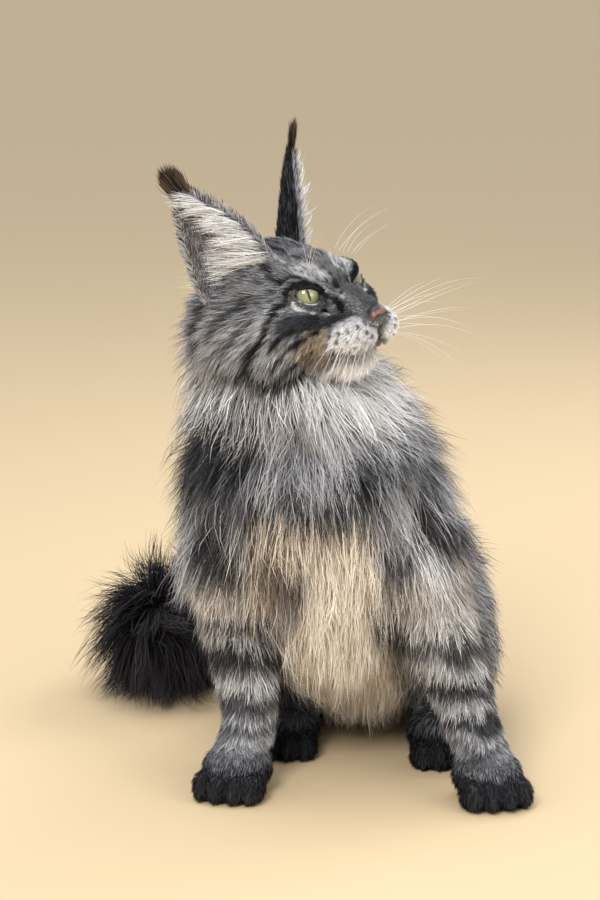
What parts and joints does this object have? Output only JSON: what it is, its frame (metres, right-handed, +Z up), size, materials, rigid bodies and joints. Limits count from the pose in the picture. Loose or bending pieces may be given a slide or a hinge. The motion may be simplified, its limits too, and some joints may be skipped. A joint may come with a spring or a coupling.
{
  "type": "maine coon cat",
  "caption": "Life-size still model of a long-haired tabby cat sitting upright, forelegs apart, head turned to its left and tail curled beside it.",
  "frame": {"origin": "on the floor, at the middle of the footprint of the whole cat", "axes": "+Z up, -Y the way the chest faces, +X the cat's left"},
  "size_m": [0.3278, 0.4112, 0.4386],
  "materials": {
    "face_coat": "short dense fur, grey with black stripes",
    "ruff_coat": "long soft fur, silver grey",
    "body_coat": "long soft fur, grey and black bands with a cream front",
    "tail_coat": "very long soft fur, near black",
    "leg_coat": "short fur, grey with black bars, black paws",
    "ear_coat": "fine fur, black behind and silver inside",
    "eye_surface": "wet glossy eye, green gold iris"
  },
  "bodies": {
    "root": {"head": "face_coat", "neck": "ruff_coat", "torso": "body_coat", "tail_base": "tail_coat", "tail_tip": "tail_coat", "leg_front_left": "leg_coat", "leg_front_right": "leg_coat", "leg_hind_left": "leg_coat", "leg_hind_right": "leg_coat", "ear_left": "ear_coat", "ear_right": "ear_coat", "eye_left": "eye_surface", "eye_right": "eye_surface"}
  },
  "joints": []
}
